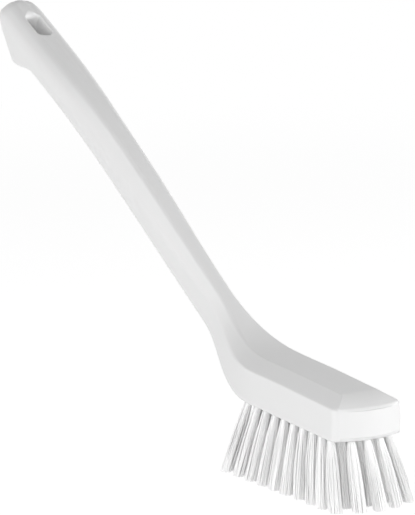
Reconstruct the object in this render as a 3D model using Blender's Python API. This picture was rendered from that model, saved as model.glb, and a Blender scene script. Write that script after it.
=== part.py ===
"""Long-handled wash brush.

One moulding is both brush block and handle. Fifty tufts of filament stand in blind holes in the
block's underside. Each tuft is folded over a flat wire anchor that bites into the wall of its hole.

Lengths are in metres. X runs forward to the nose, Y across the brush, Z up. The brush is modelled
with its block's underside level, at the height of 0 under the nose, and then tilts a little to
stand on its bristle tips at Z = 0, with the origin at the middle of its length.
"""

import math

import bmesh
import bpy
from mathutils import Matrix, Vector

# The spine is the line along the middle of the brush at the height of the side crease. Places on it
# are measured from the nose.

# Brush block: a straight wall that widens to its base, then a bevel up to a flat top. Its crease and
# top fall a little towards the nose.
BLOCK_LENGTH = 0.088
BLOCK_WIDTH = 0.0390
BLOCK_FLARE = 0.0012
BLOCK_FLAT_WIDTH = 0.0212
BLOCK_WALL = 0.0176
BLOCK_BEVEL_RISE = 0.0052
BLOCK_FALL = 0.0010
BLOCK_FALL_LENGTH = 0.056
BLOCK_EDGE_RADIUS = 0.0012

# Nose of the block, a shallow arc between two rounded corners. The bevel runs on round it.
NOSE_RADIUS = 0.038
NOSE_CORNER_RADIUS = 0.0050
NOSE_EDGE_RADIUS = 0.0012
NOSE_BEVEL_LENGTH = 0.0135
NOSE_LIP_RISE = 0.0003
NOSE_LIP_INSET = 0.0014
NOSE_FLARE = 0.0010
NOSE_BOW_LENGTH = 0.030

# Heel, where the underside leaves the level and turns up into the handle.
HEEL_LENGTH = 0.020
HEEL_SWELL = 0.0006

# Neck, the narrowest part of the handle, and the taper from the block down to it.
TAPER_LENGTH = 0.069
NECK_WIDTH = 0.0156
NECK_BASE_WIDTH = 0.0128
NECK_FLAT_WIDTH = 0.0076
NECK_DEPTH = 0.0160
NECK_BEVEL_RISE = 0.0060

# Shaft, the middle of the handle, where it is thinnest from top to bottom.
SHAFT_LENGTH = 0.111
SHAFT_WIDTH = 0.0236
SHAFT_BASE_WIDTH = 0.0184
SHAFT_FLAT_WIDTH = 0.0092
SHAFT_DEPTH = 0.0110
SHAFT_BEVEL_RISE = 0.0084

# Grip, the wide end of the handle, crowned across its top.
GRIP_LENGTH = 0.089
GRIP_WIDTH = 0.0260
GRIP_BASE_WIDTH = 0.0212
GRIP_FLAT_WIDTH = 0.0130
GRIP_DEPTH = 0.0116
GRIP_BEVEL_RISE = 0.0058
GRIP_CROWN = 0.0008
HANDLE_EDGE_RADIUS = 0.0030

# Hooked end, a finger stop that drops below the grip and then slopes up to a rounded tail.
HOOK_SWELL_LENGTH = 0.021
HOOK_DEPTH = 0.0183
HOOK_CLIMB_LENGTH = 0.0247
TAIL_LENGTH = 0.0110

# Hang hole, a stadium through the hooked end with a flared upper lip, a little ahead of its tip.
HANG_HOLE_OFFSET = 0.0012
HANG_HOLE_LENGTH = 0.0212
HANG_HOLE_WIDTH = 0.0080
HANG_LIP_WIDTH = 0.0013
HANG_LIP_DEPTH = 0.0030

# Bends of the spine: up out of the block at the heel, then easing off along the shaft and grip.
BEND_LEAD = 0.006
BEND_LENGTH = 0.062
DROOP_DELAY = 0.022
DROOP_LENGTH = 0.080
HANDLE_RISE = math.radians(28.4)
HANDLE_DROOP = math.radians(5.8)

# Places on the spine.
BEND_START = BLOCK_LENGTH - BEND_LEAD
HEEL_PLACE = BLOCK_LENGTH + HEEL_LENGTH
NECK_PLACE = BLOCK_LENGTH + TAPER_LENGTH
SHAFT_PLACE = NECK_PLACE + SHAFT_LENGTH
DROOP_START = SHAFT_PLACE + DROOP_DELAY
GRIP_PLACE = SHAFT_PLACE + GRIP_LENGTH
HOOK_TIP_PLACE = GRIP_PLACE + HOOK_SWELL_LENGTH
HANG_HOLE_PLACE = HOOK_TIP_PLACE - HANG_HOLE_OFFSET
SPINE_LENGTH = HOOK_TIP_PLACE + HOOK_CLIMB_LENGTH

# Bristle field: rows across the brush, columns along it. The columns bow forward at the nose. The
# outer rows stand a margin inside the walls, and the last column a margin ahead of the heel.
TUFT_ROWS = 5
TUFT_COLUMNS = 10
SIDE_ROW_MARGIN = 0.0035
FRONT_COLUMN_MARGIN = 0.0137
HEEL_COLUMN_MARGIN = 0.0124
FRONT_COLUMN_BOW = 0.0079

# The bristles are trimmed to one plane, nearer to the block at the nose than at the heel, and splay
# outwards by these distances between root and tip.
NOSE_TRIM_HEIGHT = 0.0352
STAND_TILT = math.radians(2.4)
HEEL_SPLAY = 0.0128
NOSE_SPLAY = 0.0138
SIDE_SPLAY = 0.0055

# One tuft: a packed root in its hole, and strands that spread towards their tips.
TUFT_ROOT_DIAMETER = 0.0038
TUFT_ROOT_LENGTH = 0.0110
TUFT_TIP_DIAMETER = 0.0062
STRANDS_PER_TUFT = 8
STRAND_GAP = 0.0002

# Flat wire anchor across the fold of each tuft.
ANCHOR_LENGTH = 0.0050
ANCHOR_THICKNESS = 0.0005
ANCHOR_HEIGHT = 0.0018
ANCHOR_FOLD = 0.0010

# Clearance between a tuft and its hole, the distance that a cut runs past the face it opens, and
# the distance within which two points count as level.
SEAT_CLEARANCE = 0.0003
CUT_OVERRUN = 0.0010
LEVEL_TOLERANCE = 0.00002

# Mesh fineness of the moulding.
FLAT_STEPS = 4
ROUND_STEPS = 3
SPINE_STEP = 0.002
NOSE_RING_STEP = 0.0077
BLOCK_RING_STEP = 0.0260
BEND_RING_STEP = 0.0065
HANDLE_RING_STEP = 0.0150
HOOK_RING_STEP = 0.0045
CORNER_RINGS = 4
TAIL_RINGS = 6
HOLE_SIDES = 24
SHARP_ANGLE = math.radians(30.0)

# Shares chosen by hand: how much of an edge a rounding may take, where round the nose's corners the
# front edges start to round, how square the tail is in plan, how fast its underside climbs, how
# sharply its top turns down, how far round it the last ring stands, and how quickly the columns of
# tufts gain their bow.
ROUNDING_LIMIT_SHARE = 0.45
NOSE_EDGE_START_SHARE = 0.5
TAIL_SQUARENESS_SHARE = 2.7
TAIL_CLIMB_SHARE = 0.78
TAIL_TOP_POWER_SHARE = 4.0
TAIL_END_SHARE = 0.88
BOW_GROWTH_SHARE = 1.5

# Finishes.
BODY_COLOUR = (0.81, 0.81, 0.80, 1.0)
BODY_ROUGHNESS = 0.42
TUFT_COLOUR = (0.86, 0.86, 0.85, 1.0)
TUFT_ROUGHNESS = 0.55

BRUSH_NAME = "wash_brush"


def smooth(share):
    """Ease from 0 to 1, level at both ends."""
    share = min(max(share, 0.0), 1.0)
    return share * share * (3.0 - 2.0 * share)


def mix(first, second, share):
    """Value part of the way from first to second."""
    return first + (second - first) * share


def heading(place):
    """Slope of the spine: level in the block, up along the handle, easing off towards the end."""
    rise = HANDLE_RISE * smooth((place - BEND_START) / BEND_LENGTH)
    droop = HANDLE_DROOP * smooth((place - DROOP_START) / DROOP_LENGTH)
    return rise - droop


def spine_point(place):
    """Point of the spine at a place, with X back from the nose and Z up from the underside."""
    steps = max(1, math.ceil(place / SPINE_STEP))
    step = place / steps
    x, z = 0.0, BLOCK_WALL
    for index in range(steps):
        slope = heading((index + 0.5) * step)
        x -= step * math.cos(slope)
        z += step * math.sin(slope)
    return x, z


# Sizes of the cross-sections: widths at the crease and at the base, width of the flat top, then the
# bevel's rise, the edge radius and the top's crown.
BLOCK_WIDTHS = (BLOCK_WIDTH, BLOCK_WIDTH + BLOCK_FLARE, BLOCK_FLAT_WIDTH)
NECK_WIDTHS = (NECK_WIDTH, NECK_BASE_WIDTH, NECK_FLAT_WIDTH)
SHAFT_WIDTHS = (SHAFT_WIDTH, SHAFT_BASE_WIDTH, SHAFT_FLAT_WIDTH)
GRIP_WIDTHS = (GRIP_WIDTH, GRIP_BASE_WIDTH, GRIP_FLAT_WIDTH)
BLOCK_SIZES = (*BLOCK_WIDTHS, BLOCK_BEVEL_RISE, BLOCK_EDGE_RADIUS, 0.0)
NECK_SIZES = (*NECK_WIDTHS, NECK_BEVEL_RISE, HANDLE_EDGE_RADIUS, 0.0)
SHAFT_SIZES = (*SHAFT_WIDTHS, SHAFT_BEVEL_RISE, HANDLE_EDGE_RADIUS, 0.0)
GRIP_SIZES = (*GRIP_WIDTHS, GRIP_BEVEL_RISE, HANDLE_EDGE_RADIUS, GRIP_CROWN)
STATIONS = (
    (0.0, BLOCK_SIZES),
    (BLOCK_LENGTH, BLOCK_SIZES),
    (NECK_PLACE, NECK_SIZES),
    (SHAFT_PLACE, SHAFT_SIZES),
    (GRIP_PLACE, GRIP_SIZES),
    (SPINE_LENGTH, GRIP_SIZES),
)

# Depths of the underside below the spine, along the handle.
DEPTHS = (
    (HEEL_PLACE, (BLOCK_WALL + HEEL_SWELL,)),
    (NECK_PLACE, (NECK_DEPTH,)),
    (SHAFT_PLACE, (SHAFT_DEPTH,)),
    (GRIP_PLACE, (GRIP_DEPTH,)),
    (HOOK_TIP_PLACE, (HOOK_DEPTH,)),
)


def between(table, place):
    """Sizes at a place, eased between the two rows of a table that stand on either side of it."""
    for (first_place, first), (second_place, second) in zip(table, table[1:]):
        if place <= second_place:
            share = smooth((place - first_place) / (second_place - first_place))
            return [mix(a, b, share) for a, b in zip(first, second)]
    return list(table[-1][1])


def depth_at(place):
    """Depth of the underside below the spine: level under the block, hooked at the handle's end."""
    depth = between(DEPTHS, place)[0]
    if place > HOOK_TIP_PLACE:
        share = (place - HOOK_TIP_PLACE) / (SPINE_LENGTH - HOOK_TIP_PLACE)
        depth = HOOK_DEPTH * (1.0 - share) ** TAIL_CLIMB_SHARE
    level = spine_point(place)[1] / math.cos(heading(place))
    return min(depth, level)


def round_corner(before, corner, after, radius):
    """Points that round one corner of an outline, with the radius limited by its two edges."""
    back, ahead = before - corner, after - corner
    half_angle = back.angle(ahead) / 2.0
    longest = ROUNDING_LIMIT_SHARE * min(back.length, ahead.length)
    reach = min(radius / math.tan(half_angle), longest)
    fitted = reach * math.tan(half_angle)
    middle = (back.normalized() + ahead.normalized()).normalized()
    centre = corner + middle * (fitted / math.sin(half_angle))
    start = back.normalized() * reach + corner - centre
    end = ahead.normalized() * reach + corner - centre
    turn = start.angle_signed(end)
    points = []
    for index in range(ROUND_STEPS + 1):
        angle = -turn * index / ROUND_STEPS
        points.append(centre + Matrix.Rotation(angle, 2) @ start)
    return points


def half_outline(half_crease, half_base, half_flat, rise, radius, crown, depth):
    """Right half of a cross-section, from the middle of its underside to the middle of its top."""
    base = Vector((half_base, -depth))
    crease = Vector((half_crease, 0.0))
    shoulder = Vector((half_flat, rise))
    under = Vector((0.0, -depth))
    top = Vector((0.0, rise))
    base_round = round_corner(under, base, crease, radius)
    crease_round = round_corner(base, crease, shoulder, radius)
    shoulder_round = round_corner(crease, shoulder, top, radius)
    points = [under.lerp(base_round[0], index / FLAT_STEPS) for index in range(FLAT_STEPS)]
    points += base_round + crease_round + shoulder_round
    edge = shoulder_round[-1]
    for index in range(FLAT_STEPS - 1, -1, -1):
        share = index / FLAT_STEPS
        points.append(Vector((edge.x * share, edge.y + crown * (1.0 - share * share))))
    return points


def nose_arc(y):
    """Forward reach of the nose's front at a distance from the middle, 0 on the middle line."""
    return math.sqrt(NOSE_RADIUS ** 2 - y ** 2) - NOSE_RADIUS


def upright_share(points, index):
    """How far an outline faces up or down at a point, from 0 on a wall to 1 on a level face."""
    before = points[max(index - 1, 0)]
    after = points[min(index + 1, len(points) - 1)]
    along = (after - before).normalized()
    return abs(along.x)


def ring_points(outline, place, bow=0.0, edge_turn=0.0):
    """Place one outline in space, bowed to the nose's arc and turned in at the nose's edges."""
    x, z = spine_point(place)
    slope = heading(place)
    half_crease = max(point.x for point in outline)
    placed = []
    for index, point in enumerate(outline):
        level = upright_share(outline, index)
        forward = bow * (nose_arc(point.x) - nose_arc(half_crease))
        forward += bow * NOSE_FLARE * max(-point.y, 0.0) / BLOCK_WALL
        forward -= NOSE_EDGE_RADIUS * (1.0 - math.sin(edge_turn)) * level * min(bow, 1.0)
        side = 1.0 if point.y > -BLOCK_WALL / 2.0 else -1.0
        height = point.y - side * NOSE_EDGE_RADIUS * (1.0 - math.cos(edge_turn)) * level
        placed.append(Vector((
            x + forward + height * math.sin(slope),
            point.x,
            z + height * math.cos(slope),
        )))
    mirrored = [Vector((p.x, -p.y, p.z)) for p in placed[-2:0:-1]]
    return placed + mirrored


def nose_rings():
    """Place, inset and edge turn of each ring round the nose's corners, from the front back."""
    centre_y = BLOCK_WIDTH / 2.0 - NOSE_CORNER_RADIUS
    centre_reach = math.sqrt((NOSE_RADIUS - NOSE_CORNER_RADIUS) ** 2 - centre_y ** 2) - NOSE_RADIUS
    last_turn = math.pi / 2.0 - math.asin(centre_y / (NOSE_RADIUS - NOSE_CORNER_RADIUS))
    rings = []
    for index in range(CORNER_RINGS, -1, -1):
        share = index / CORNER_RINGS
        turn = last_turn * share
        place = -(centre_reach + NOSE_CORNER_RADIUS * math.sin(turn))
        inset = NOSE_CORNER_RADIUS * (1.0 - math.cos(turn))
        edge_share = (share - NOSE_EDGE_START_SHARE) / (1.0 - NOSE_EDGE_START_SHARE)
        rings.append((place, inset, math.pi / 2.0 * max(0.0, edge_share)))
    return rings


def block_outline(place, inset):
    """Outline in the block, where the nose's bevel lowers and widens the flat top."""
    crease, base, flat, rise, radius, crown = between(STATIONS, place)
    front = nose_rings()[0][0]
    share = max(0.0, (NOSE_BEVEL_LENGTH - place) / (NOSE_BEVEL_LENGTH - front))
    drop = BLOCK_FALL * max(0.0, (BLOCK_FALL_LENGTH - place) / BLOCK_FALL_LENGTH)
    half_crease = crease / 2.0 - inset
    half_base = base / 2.0 - inset
    half_flat = min(mix(flat / 2.0, crease / 2.0 - NOSE_LIP_INSET, share), half_crease - NOSE_LIP_INSET)
    rise = mix(rise, NOSE_LIP_RISE, share)
    outline = half_outline(half_crease, half_base, half_flat, rise, radius, crown, depth_at(place))
    for point in outline:
        point.y -= drop * min(1.0, (point.y + BLOCK_WALL) / BLOCK_WALL)
    return outline


def handle_outline(place):
    """Outline in the handle, drawn in to a rounded tail at its end."""
    crease, base, flat, rise, radius, crown = between(STATIONS, place)
    share = max(0.0, (place - (SPINE_LENGTH - TAIL_LENGTH)) / TAIL_LENGTH)
    draw = (1.0 - share ** TAIL_SQUARENESS_SHARE) ** (1.0 / TAIL_SQUARENESS_SHARE)
    top = math.sqrt(1.0 - share ** TAIL_TOP_POWER_SHARE)
    halves = [width / 2.0 * draw for width in (crease, base, flat)]
    return half_outline(*halves, rise * top, radius, crown * draw, depth_at(place))


def even_places(start, end, step):
    """Places from start up to but not including end, about a step apart."""
    count = max(1, round((end - start) / step))
    return [mix(start, end, index / count) for index in range(count)]


def body_rings():
    """Every ring of the moulding, from the nose to the tail."""
    rings = []
    corner_rings = nose_rings()
    for index, (place, inset, edge_turn) in enumerate(corner_rings):
        bow = 1.0 - place / NOSE_BOW_LENGTH if index else 1.0
        rings.append(ring_points(block_outline(place, inset), place, bow, edge_turn))
    places = even_places(corner_rings[-1][0], NOSE_BEVEL_LENGTH, NOSE_RING_STEP)[1:]
    places += [NOSE_BEVEL_LENGTH, NOSE_BOW_LENGTH]
    places += even_places(NOSE_BOW_LENGTH, BEND_START, BLOCK_RING_STEP)[1:]
    for place in places:
        bow = max(0.0, 1.0 - place / NOSE_BOW_LENGTH)
        rings.append(ring_points(block_outline(place, 0.0), place, bow))
    places = even_places(BEND_START, NECK_PLACE, BEND_RING_STEP)
    places += even_places(NECK_PLACE, GRIP_PLACE, HANDLE_RING_STEP)
    places += even_places(GRIP_PLACE, SPINE_LENGTH - TAIL_LENGTH, HOOK_RING_STEP)
    for index in range(TAIL_RINGS + 1):
        turn = math.pi / 2.0 * TAIL_END_SHARE * index / TAIL_RINGS
        places.append(SPINE_LENGTH - TAIL_LENGTH + TAIL_LENGTH * math.sin(turn))
    for place in places:
        rings.append(ring_points(handle_outline(place), place))
    return rings


def cap_end(bm, ring, flip):
    """Close one end with strips from the underside's points up to the top's points."""
    count = len(ring)
    half = count // 2
    loops = []
    for index in range(FLAT_STEPS - 1):
        loops.append([ring[index], ring[index + 1], ring[half - index - 1], ring[half - index]])
        loops.append([ring[-index], ring[half + index], ring[half + index + 1], ring[-index - 1]])
    loops.append(ring[FLAT_STEPS - 1:half - FLAT_STEPS + 2])
    loops.append(ring[half + FLAT_STEPS - 1:count - FLAT_STEPS + 2])
    for loop in loops:
        bm.faces.new(loop[::-1] if flip else loop)


def build_body_mesh():
    """Loft the moulding's rings into one closed mesh."""
    bm = bmesh.new()
    rings = [[bm.verts.new(point) for point in ring] for ring in body_rings()]
    for first, second in zip(rings, rings[1:]):
        for index in range(len(first)):
            after = (index + 1) % len(first)
            bm.faces.new([first[index], first[after], second[after], second[index]])
    cap_end(bm, rings[0], True)
    cap_end(bm, rings[-1], False)
    bmesh.ops.recalc_face_normals(bm, faces=bm.faces)
    return finish_mesh(bm, "moulding")


def finish_mesh(bm, name):
    """Turn a working mesh into mesh data with smooth faces and sharp edges kept."""
    mesh = bpy.data.meshes.new(name)
    bm.to_mesh(mesh)
    bm.free()
    mesh.shade_smooth()
    mesh.set_sharp_from_angle(angle=SHARP_ANGLE)
    return mesh


def make_material(name, colour, roughness):
    """Principled material in one colour, not metallic."""
    material = bpy.data.materials.new(name)
    material.use_nodes = True
    shader = material.node_tree.nodes["Principled BSDF"]
    shader.inputs["Base Color"].default_value = colour
    shader.inputs["Roughness"].default_value = roughness
    shader.inputs["Metallic"].default_value = 0.0
    material.diffuse_color = colour
    return material


def add_object(name, mesh, collection, parent=None, material=None):
    """Add an object to a collection, under a parent, with its material."""
    obj = bpy.data.objects.new(name, mesh)
    collection.objects.link(obj)
    obj.parent = parent
    if material is not None:
        obj.data.materials.append(material)
    return obj


def add_cutter(name, mesh, collection, parent):
    """Add a cutter, which is shown as a wire and left out of renders."""
    cutter = add_object(name, mesh, collection, parent)
    cutter.hide_render = True
    cutter.display_type = "WIRE"
    return cutter


def cut(target, cutter):
    """Cut one object from another with a Boolean modifier."""
    modifier = target.modifiers.new(cutter.name, "BOOLEAN")
    modifier.operation = "DIFFERENCE"
    modifier.object = cutter
    modifier.solver = "EXACT"


def mesh_from(bm, name):
    """Turn a working mesh into mesh data."""
    mesh = bpy.data.meshes.new(name)
    bm.to_mesh(mesh)
    bm.free()
    return mesh


def root_plug(grown, overrun):
    """Packed root of a tuft, along local Z from the hole's mouth, with one side to each strand."""
    sides = STRANDS_PER_TUFT
    radius = TUFT_ROOT_DIAMETER / 2.0 + grown / math.cos(math.pi / sides)
    top = TUFT_ROOT_LENGTH + grown
    length = top + overrun
    turned = Matrix.Rotation(math.pi / sides, 4, "Z")
    place = Matrix.Translation((0.0, 0.0, top - length / 2.0)) @ turned
    bm = bmesh.new()
    bmesh.ops.create_cone(
        bm, cap_ends=True, cap_tris=True, segments=sides,
        radius1=radius, radius2=radius, depth=length, matrix=place,
    )
    return mesh_from(bm, "root")


def anchor_plate(grown):
    """Wire anchor on edge across the tuft, just under the fold at the top of its root."""
    size = Vector((ANCHOR_THICKNESS, ANCHOR_LENGTH, ANCHOR_HEIGHT)) + Vector((grown, grown, grown)) * 2.0
    height = TUFT_ROOT_LENGTH - ANCHOR_FOLD - ANCHOR_HEIGHT / 2.0
    bm = bmesh.new()
    bmesh.ops.create_cube(bm, size=1.0, matrix=Matrix.LocRotScale((0.0, 0.0, height), None, size))
    return mesh_from(bm, "anchor")


def rooted_form(grown=0.0, overrun=0.0):
    """Root of a tuft joined to its anchor. The cutter of its hole is the same form, grown."""
    return union(root_plug(grown, overrun), anchor_plate(grown))


def union(first_mesh, second_mesh):
    """Join two closed meshes into one and return the joined mesh."""
    scene_collection = bpy.context.scene.collection
    first = add_object("join_base", first_mesh, scene_collection)
    second = add_object("join_tool", second_mesh, scene_collection)
    modifier = first.modifiers.new("join", "BOOLEAN")
    modifier.operation = "UNION"
    modifier.object = second
    modifier.solver = "EXACT"
    evaluated = first.evaluated_get(bpy.context.evaluated_depsgraph_get())
    joined = bpy.data.meshes.new_from_object(evaluated)
    for obj in (first, second):
        mesh = obj.data
        bpy.data.objects.remove(obj)
        bpy.data.meshes.remove(mesh)
    return joined


def field_shares(row, column):
    """Place of a tuft in the field: -1 to 1 across it, and 0 to 1 from the heel to the nose."""
    return row / (TUFT_ROWS - 1) * 2.0 - 1.0, column / (TUFT_COLUMNS - 1)


def tuft_root(row, column):
    """Middle of a tuft's hole mouth on the block's underside."""
    across, along = field_shares(row, column)
    back = mix(HEEL_PLACE - HEEL_COLUMN_MARGIN, FRONT_COLUMN_MARGIN, along)
    bow = FRONT_COLUMN_BOW * along ** BOW_GROWTH_SHARE * (1.0 - across ** 2)
    return Vector((bow - back, across * (BLOCK_WIDTH / 2.0 - SIDE_ROW_MARGIN), 0.0))


def trim_height(x):
    """Height of the plane that the bristles are trimmed to, at a distance ahead of the nose."""
    return x * math.tan(STAND_TILT) - NOSE_TRIM_HEIGHT


def tuft_tip(row, column):
    """Middle of a tuft's trimmed tip, splayed towards the heel, the nose and the sides."""
    across, along = field_shares(row, column)
    root = tuft_root(row, column)
    x = root.x + mix(-HEEL_SPLAY, NOSE_SPLAY, along)
    return Vector((x, root.y + SIDE_SPLAY * across, trim_height(x)))


def tuft_frame(row, column):
    """Axes of a tuft: origin at its hole's mouth, local Z up into the block along the tuft."""
    root, tip = tuft_root(row, column), tuft_tip(row, column)
    up = (root - tip).normalized()
    across = Vector((0.0, 1.0, 0.0))
    across = (across - up * across.dot(up)).normalized()
    forward = across.cross(up)
    axes = Matrix((forward, across, up)).transposed().to_4x4()
    return Matrix.Translation(root) @ axes


def build_tuft_mesh(root_form, row, column):
    """Grow the strands of one tuft out of the end of its root, down to the trimmed tip."""
    frame = tuft_frame(row, column)
    inverse = frame.inverted()
    tip = tuft_tip(row, column)
    spread = TUFT_TIP_DIAMETER / TUFT_ROOT_DIAMETER
    bm = bmesh.new()
    bm.from_mesh(root_form)
    lowest = min(vert.co.z for vert in bm.verts)
    limit = lowest + LEVEL_TOLERANCE
    ends = [face for face in bm.faces if all(vert.co.z < limit for vert in face.verts)]
    bmesh.ops.inset_individual(bm, faces=ends, thickness=STRAND_GAP / 2.0, use_even_offset=True)
    grown = bmesh.ops.extrude_discrete_faces(bm, faces=ends)["faces"]
    for face in grown:
        for vert in face.verts:
            aside = frame.to_3x3() @ Vector((vert.co.x, vert.co.y, 0.0)) * spread
            x = tip.x + aside.x
            vert.co = inverse @ Vector((x, tip.y + aside.y, trim_height(x)))
    bmesh.ops.recalc_face_normals(bm, faces=bm.faces)
    return finish_mesh(bm, "tuft")


def build_hole_mesh(hole_form):
    """All the blind tuft holes, as one set of cutting solids."""
    bm = bmesh.new()
    for row in range(TUFT_ROWS):
        for column in range(TUFT_COLUMNS):
            copy = hole_form.copy()
            copy.transform(tuft_frame(row, column))
            bm.from_mesh(copy)
            bpy.data.meshes.remove(copy)
    return mesh_from(bm, "tuft_holes")


def stretched_cone(lower_radius, upper_radius, low, high, stretch):
    """Round cone from low to high on local Z, pulled apart along local X into a stadium."""
    turned = Matrix.Rotation(math.pi / HOLE_SIDES, 4, "Z")
    place = Matrix.Translation((0.0, 0.0, (low + high) / 2.0)) @ turned
    bm = bmesh.new()
    bmesh.ops.create_cone(
        bm, cap_ends=True, segments=HOLE_SIDES,
        radius1=lower_radius, radius2=upper_radius, depth=high - low, matrix=place,
    )
    for vert in bm.verts:
        vert.co.x += math.copysign(stretch / 2.0, vert.co.x)
    return mesh_from(bm, "stadium")


def add_hang_hole(body, collection, parent):
    """Cut the hang hole through the hooked end, square to its top, with a flared upper lip."""
    x, z = spine_point(HANG_HOLE_PLACE)
    frame = Matrix.Translation((x, 0.0, z)) @ Matrix.Rotation(heading(HANG_HOLE_PLACE), 4, "Y")
    top = GRIP_BEVEL_RISE + GRIP_CROWN
    radius = HANG_HOLE_WIDTH / 2.0
    stretch = HANG_HOLE_LENGTH - HANG_HOLE_WIDTH
    flare = HANG_LIP_WIDTH / HANG_LIP_DEPTH
    beyond = flare * CUT_OVERRUN
    lip_low = top - HANG_LIP_DEPTH - CUT_OVERRUN
    forms = (
        ("hang_hole", radius, radius, -HOOK_DEPTH - CUT_OVERRUN),
        ("hang_lip", radius - beyond, radius + HANG_LIP_WIDTH + beyond, lip_low),
    )
    for name, lower, upper, low in forms:
        form = stretched_cone(lower, upper, low, top + CUT_OVERRUN, stretch)
        cutter = add_cutter(name, form, collection, parent)
        cutter.matrix_basis = frame
        cut(body, cutter)


def stand(pivot, pieces):
    """Tilt the brush onto its trimmed tips, with the middle of its length over the origin."""
    turned = Matrix.Rotation(STAND_TILT, 4, "Y")
    reach = []
    for piece in pieces:
        placed = turned @ piece.matrix_basis
        reach += [(placed @ vert.co).x for vert in piece.data.vertices]
    front_tip = turned @ tuft_tip(0, TUFT_COLUMNS - 1)
    pivot.rotation_euler.y = STAND_TILT
    pivot.location = (-(min(reach) + max(reach)) / 2.0, 0.0, -front_tip.z)


def build_brush():
    """Build the moulding and its tufts, and stand them on the bristle tips."""
    brush = bpy.data.collections.new(BRUSH_NAME)
    cutters = bpy.data.collections.new("cutters")
    for collection in (brush, cutters):
        bpy.context.scene.collection.children.link(collection)
    pivot = add_object("brush_origin", None, brush)

    plastic = make_material("white_polypropylene", BODY_COLOUR, BODY_ROUGHNESS)
    body = add_object("brush_body", build_body_mesh(), brush, pivot, plastic)
    hole_form = rooted_form(SEAT_CLEARANCE, CUT_OVERRUN)
    cut(body, add_cutter("tuft_holes", build_hole_mesh(hole_form), cutters, pivot))
    add_hang_hole(body, cutters, pivot)

    filament = make_material("white_polyester", TUFT_COLOUR, TUFT_ROUGHNESS)
    root_form = rooted_form()
    pieces = [body]
    for row in range(TUFT_ROWS):
        for column in range(TUFT_COLUMNS):
            name = f"tuft_r{row + 1}_c{column + 1:02d}"
            tuft = add_object(name, build_tuft_mesh(root_form, row, column), brush, pivot, filament)
            tuft.matrix_basis = tuft_frame(row, column)
            pieces.append(tuft)
    stand(pivot, pieces)


def clear_scene():
    """Remove every object from the scene."""
    for obj in list(bpy.data.objects):
        bpy.data.objects.remove(obj)


clear_scene()
build_brush()
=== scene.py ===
"""Long-handled wash brush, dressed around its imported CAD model.

The moulding is lofted again from the CAD sizes with fine rounded edges, and every tuft becomes a
bundle of bent filaments folded over a flat wire anchor. Lengths are in metres. Pieces are made in
the brush's own axes, with X forward to the nose, Z up and the block's underside level, and then
tilt a little to stand on the bristle tips.
"""

import logging
import math
import random
from collections.abc import Iterable, Iterator
from dataclasses import astuple, dataclass, field, replace
from enum import Enum
from typing import TypeVar

import bmesh
import bpy
from mathutils import Matrix, Vector


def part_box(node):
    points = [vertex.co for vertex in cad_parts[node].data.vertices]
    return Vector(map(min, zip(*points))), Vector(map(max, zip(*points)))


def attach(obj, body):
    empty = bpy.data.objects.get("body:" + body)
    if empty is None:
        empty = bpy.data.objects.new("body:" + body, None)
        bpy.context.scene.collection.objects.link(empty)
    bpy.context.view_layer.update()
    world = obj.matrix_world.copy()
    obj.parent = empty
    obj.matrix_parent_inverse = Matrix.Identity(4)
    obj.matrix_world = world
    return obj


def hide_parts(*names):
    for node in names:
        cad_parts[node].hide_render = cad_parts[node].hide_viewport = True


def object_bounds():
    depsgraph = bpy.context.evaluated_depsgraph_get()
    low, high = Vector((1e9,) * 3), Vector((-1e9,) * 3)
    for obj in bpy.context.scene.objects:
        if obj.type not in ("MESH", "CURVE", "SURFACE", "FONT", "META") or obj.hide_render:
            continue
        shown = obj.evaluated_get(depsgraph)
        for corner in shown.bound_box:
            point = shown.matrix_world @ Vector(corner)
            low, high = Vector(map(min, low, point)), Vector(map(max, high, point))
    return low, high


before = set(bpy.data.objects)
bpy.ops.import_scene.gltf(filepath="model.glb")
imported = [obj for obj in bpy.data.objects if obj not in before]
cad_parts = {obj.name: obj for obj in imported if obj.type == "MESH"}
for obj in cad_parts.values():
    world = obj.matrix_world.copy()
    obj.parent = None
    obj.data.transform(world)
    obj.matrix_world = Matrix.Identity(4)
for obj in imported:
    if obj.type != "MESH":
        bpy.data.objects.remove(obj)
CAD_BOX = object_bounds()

LOG = logging.getLogger("wash_brush")

BODY = "root"
BODY_NODE = "brush_body"
PHOTO_HEIGHT_PX = 515
STRAND_TONE = "strand_tone"
QUARTER_TURN = math.pi / 2.0
HEXAGON_TURN = math.pi / 3.0

Colour = tuple[float, float, float, float]
Point = tuple[float, float, float]
Socket = bpy.types.NodeSocket
Value = TypeVar("Value")

WHITE: Colour = (1.0, 1.0, 1.0, 1.0)
EVEN_SCATTER: Point = (1.0, 1.0, 1.0)
EVEN_STRETCH: Point = (1.0, 1.0, 1.0)
SLOW_STRETCH: Point = (0.04, 0.04, 0.04)


class End(Enum):
    """Which end of the moulding a cap closes."""

    NOSE = "nose"
    TAIL = "tail"


class Ray(Enum):
    """Kinds of ray that see the white backdrop."""

    CAMERA = "Is Camera Ray"
    GLOSSY = "Is Glossy Ray"
    TRANSMISSION = "Is Transmission Ray"


def ease(share: float) -> float:
    """Ease from 0 to 1, level at both ends."""
    share = min(max(share, 0.0), 1.0)
    return share * share * (3.0 - 2.0 * share)


def mix(first: float, second: float, share: float) -> float:
    """Value part of the way from first to second."""
    return first + (second - first) * share


def even_places(start: float, end: float, step: float) -> list[float]:
    """Places from start up to but not including end, about a step apart."""
    count = max(1, round((end - start) / step))
    return [mix(start, end, index / count) for index in range(count)]


def around(stations: tuple[tuple[float, Value], ...], place: float) -> tuple[Value, Value, float]:
    """Find the two stations around a place, or the last two if it is past them.

    Args:
        stations: Place and value of each station, in order.
        place: The place.

    Returns:
        Values of the two stations, and the eased share of the way from the first to the second.
    """
    for (first_place, first), (second_place, second) in zip(stations, stations[1:]):
        if place <= second_place:
            break
    return first, second, ease((place - first_place) / (second_place - first_place))


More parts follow.
